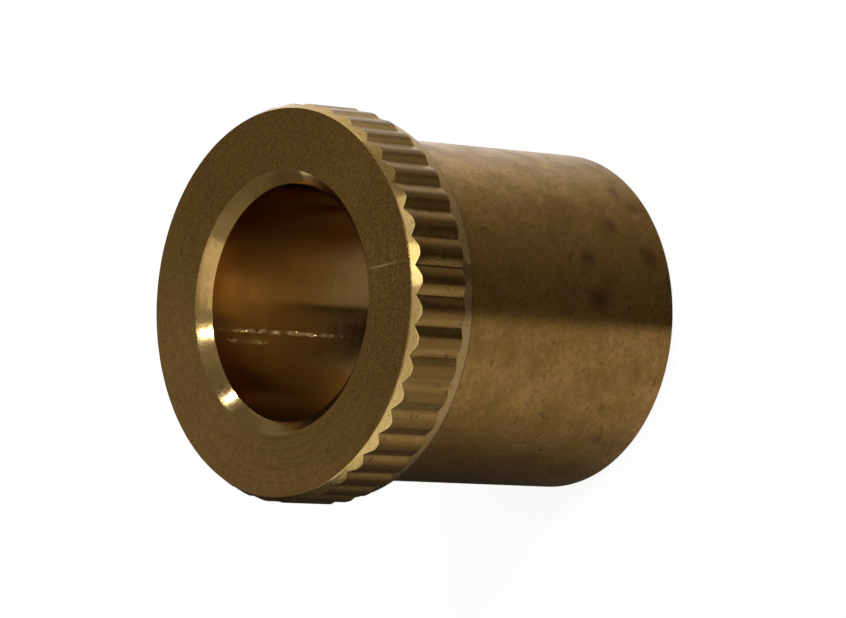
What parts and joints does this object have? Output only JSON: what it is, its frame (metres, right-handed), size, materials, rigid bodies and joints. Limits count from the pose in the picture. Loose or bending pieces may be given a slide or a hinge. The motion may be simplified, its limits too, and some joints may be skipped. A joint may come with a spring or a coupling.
{
  "type": "knurled insert sleeve",
  "caption": "Turned brass insert: a smooth round sleeve with a straight-knurled head and a plain bore right through, pressed into a hole as a liner.",
  "frame": {"origin": "centre of the plain end, on the surface the sleeve stands on", "axes": "+Z along the bore axis, from the plain end to the knurled head"},
  "size_m": [0.016, 0.016, 0.0153],
  "materials": {
    "turned_brass": "turned, lightly tarnished"
  },
  "bodies": {
    "root": {"insert_sleeve": "turned_brass"}
  },
  "joints": []
}
